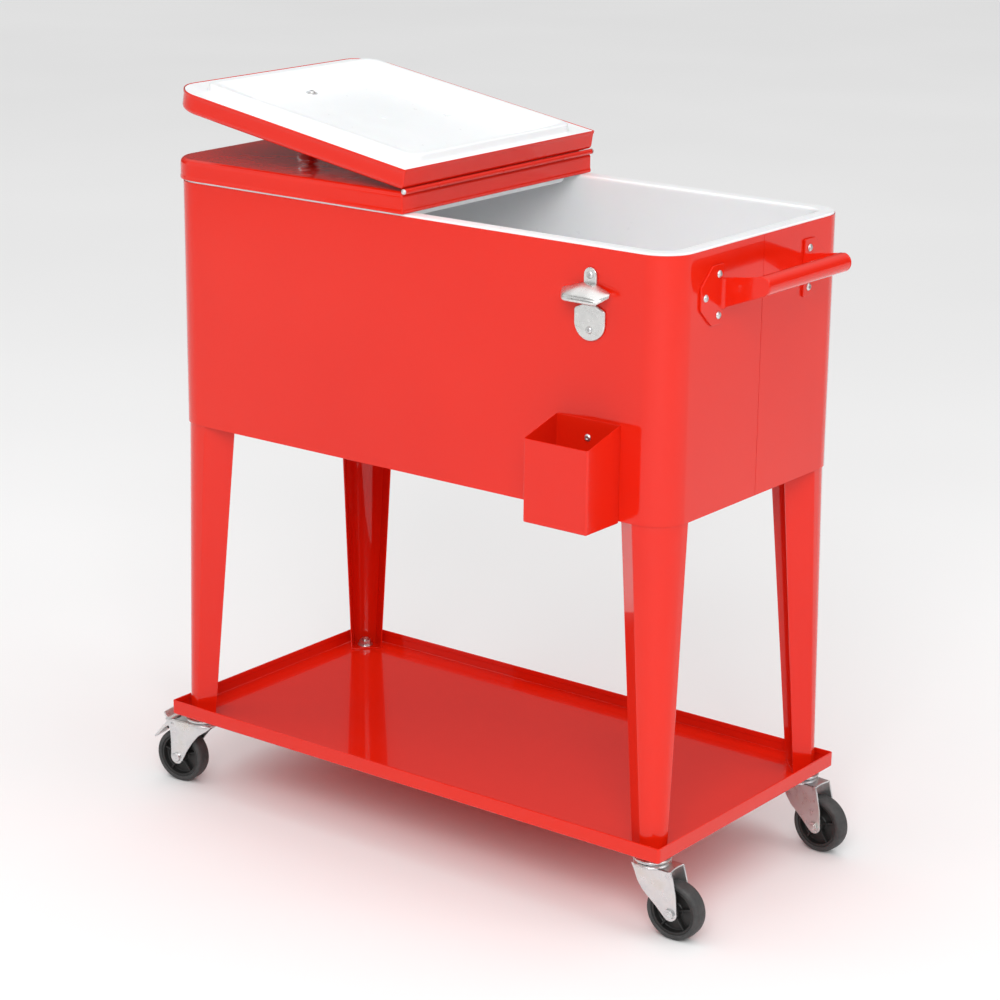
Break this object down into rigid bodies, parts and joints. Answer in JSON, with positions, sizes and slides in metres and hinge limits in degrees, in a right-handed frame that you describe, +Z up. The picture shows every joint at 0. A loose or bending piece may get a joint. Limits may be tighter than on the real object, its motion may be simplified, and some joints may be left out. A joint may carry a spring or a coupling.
{
  "type": "cooler on wheels",
  "caption": "Painted-steel patio cooler cart: insulated tub with hinged half lids, end handle, bottle opener over a cap catcher, and tapered legs on a low tray with swivel casters.",
  "frame": {"origin": "on the floor, under the middle of the tub", "axes": "+X along the length towards the handle, +Y from the opener's side to the back, +Z up"},
  "size_m": [0.9135, 0.464, 0.9757],
  "materials": {
    "red_paint": "gloss powder coat",
    "white_plastic": "smooth moulded",
    "foam": "closed-cell foam",
    "cast_metal": "satin plated casting",
    "chrome": "polished",
    "zinc": "bright zinc plate",
    "black_plastic": "moulded",
    "tyre": "moulded tread",
    "shoe_rubber": "moulded"
  },
  "bodies": {
    "cart": {"shell_front": "red_paint", "shell_rear": "red_paint", "bottom_panel": "red_paint", "foam": "foam", "tub": "white_plastic", "drain_spout": "white_plastic", "handle_bracket_front": "red_paint", "handle_bracket_rear": "red_paint", "handle_grip": "red_paint", "handle_screws": "zinc", "bottle_opener": "cast_metal", "opener_screws": "zinc", "cap_catcher": "red_paint", "catcher_screws": "zinc", "leg_front_left": "red_paint", "leg_front_right": "red_paint", "leg_rear_left": "red_paint", "leg_rear_right": "red_paint", "leg_screws": "zinc", "tray": "red_paint", "stem_nuts": "zinc", "stem_front_left": "zinc", "stem_front_right": "zinc", "stem_rear_left": "zinc", "stem_rear_right": "zinc"},
    "drain_plug": {"drain_plug": "white_plastic"},
    "left_lid": {"left_lid_shell": "red_paint", "left_lid_liner": "white_plastic", "left_lid_foam": "foam", "left_knob": "chrome", "left_knob_screw": "zinc", "hinge_rod": "zinc"},
    "right_lid": {"right_lid_shell": "red_paint", "right_lid_liner": "white_plastic", "right_lid_foam": "foam", "right_knob": "chrome", "right_knob_screw": "zinc"},
    "swivel_front_left": {"fork_front_left": "zinc", "axle_front_left": "zinc"},
    "wheel_front_left": {"hub_front_left": "black_plastic", "tyre_front_left": "tyre"},
    "swivel_front_right": {"fork_front_right": "zinc", "axle_front_right": "zinc"},
    "wheel_front_right": {"hub_front_right": "black_plastic", "tyre_front_right": "tyre"},
    "swivel_rear_left": {"fork_rear_left": "zinc", "axle_rear_left": "zinc"},
    "wheel_rear_left": {"hub_rear_left": "black_plastic", "tyre_rear_left": "tyre"},
    "swivel_rear_right": {"fork_rear_right": "zinc", "axle_rear_right": "zinc"},
    "wheel_rear_right": {"hub_rear_right": "black_plastic", "tyre_rear_right": "tyre"},
    "pedal_front_left": {"brake_front_left": "zinc", "shoe_front_left": "shoe_rubber"},
    "pedal_rear_left": {"brake_rear_left": "zinc", "shoe_rear_left": "shoe_rubber"}
  },
  "joints": [
    {"name": "left_lid_hinge", "type": "hinge", "parent": "cart", "child": "left_lid", "pos_m": [0, 0, 0.8798], "axis": [0, -1, 0], "range_deg": [-170.8, 0]},
    {"name": "right_lid_hinge", "type": "hinge", "parent": "left_lid", "child": "right_lid", "pos_m": [0, 0, 0.8798], "axis": [0, 1, 0], "range_deg": [0, 170.8]},
    {"name": "drain_plug_pull", "type": "slide", "parent": "cart", "child": "drain_plug", "axis": [0, 0, -1], "range_m": [0, 0.02]},
    {"name": "swivel_front_left", "type": "hinge", "parent": "cart", "child": "swivel_front_left", "pos_m": [-0.375, -0.173, 0.094], "axis": [0, 0, 1], "continuous": true},
    {"name": "wheel_front_left", "type": "hinge", "parent": "swivel_front_left", "child": "wheel_front_left", "pos_m": [-0.41065, -0.17801, 0.0375], "axis": [0.1392, -0.9903, 0], "continuous": true},
    {"name": "swivel_front_right", "type": "hinge", "parent": "cart", "child": "swivel_front_right", "pos_m": [0.375, -0.173, 0.094], "axis": [0, 0, 1], "continuous": true},
    {"name": "wheel_front_right", "type": "hinge", "parent": "swivel_front_right", "child": "wheel_front_right", "pos_m": [0.41095, -0.17112, 0.0375], "axis": [-0.0523, 0.9986, 0], "continuous": true},
    {"name": "swivel_rear_left", "type": "hinge", "parent": "cart", "child": "swivel_rear_left", "pos_m": [-0.375, 0.173, 0.094], "axis": [0, 0, 1], "continuous": true},
    {"name": "wheel_rear_left", "type": "hinge", "parent": "swivel_rear_left", "child": "wheel_rear_left", "pos_m": [-0.41091, 0.17049, 0.0375], "axis": [0.0698, -0.9976, 0], "continuous": true},
    {"name": "swivel_rear_right", "type": "hinge", "parent": "cart", "child": "swivel_rear_right", "pos_m": [0.375, 0.173, 0.094], "axis": [0, 0, 1], "continuous": true},
    {"name": "wheel_rear_right", "type": "hinge", "parent": "swivel_rear_right", "child": "wheel_rear_right", "pos_m": [0.41089, 0.17018, 0.0375], "axis": [0.0785, 0.9969, 0], "continuous": true},
    {"name": "pedal_front_left", "type": "hinge", "parent": "swivel_front_left", "child": "pedal_front_left", "pos_m": [-0.41758, -0.17898, 0.0855], "axis": [0.1392, -0.9903, 0], "range_deg": [0, 7]},
    {"name": "pedal_rear_left", "type": "hinge", "parent": "swivel_rear_left", "child": "pedal_rear_left", "pos_m": [-0.4179, 0.17, 0.0855], "axis": [0.0698, -0.9976, 0], "range_deg": [0, 7]}
  ]
}
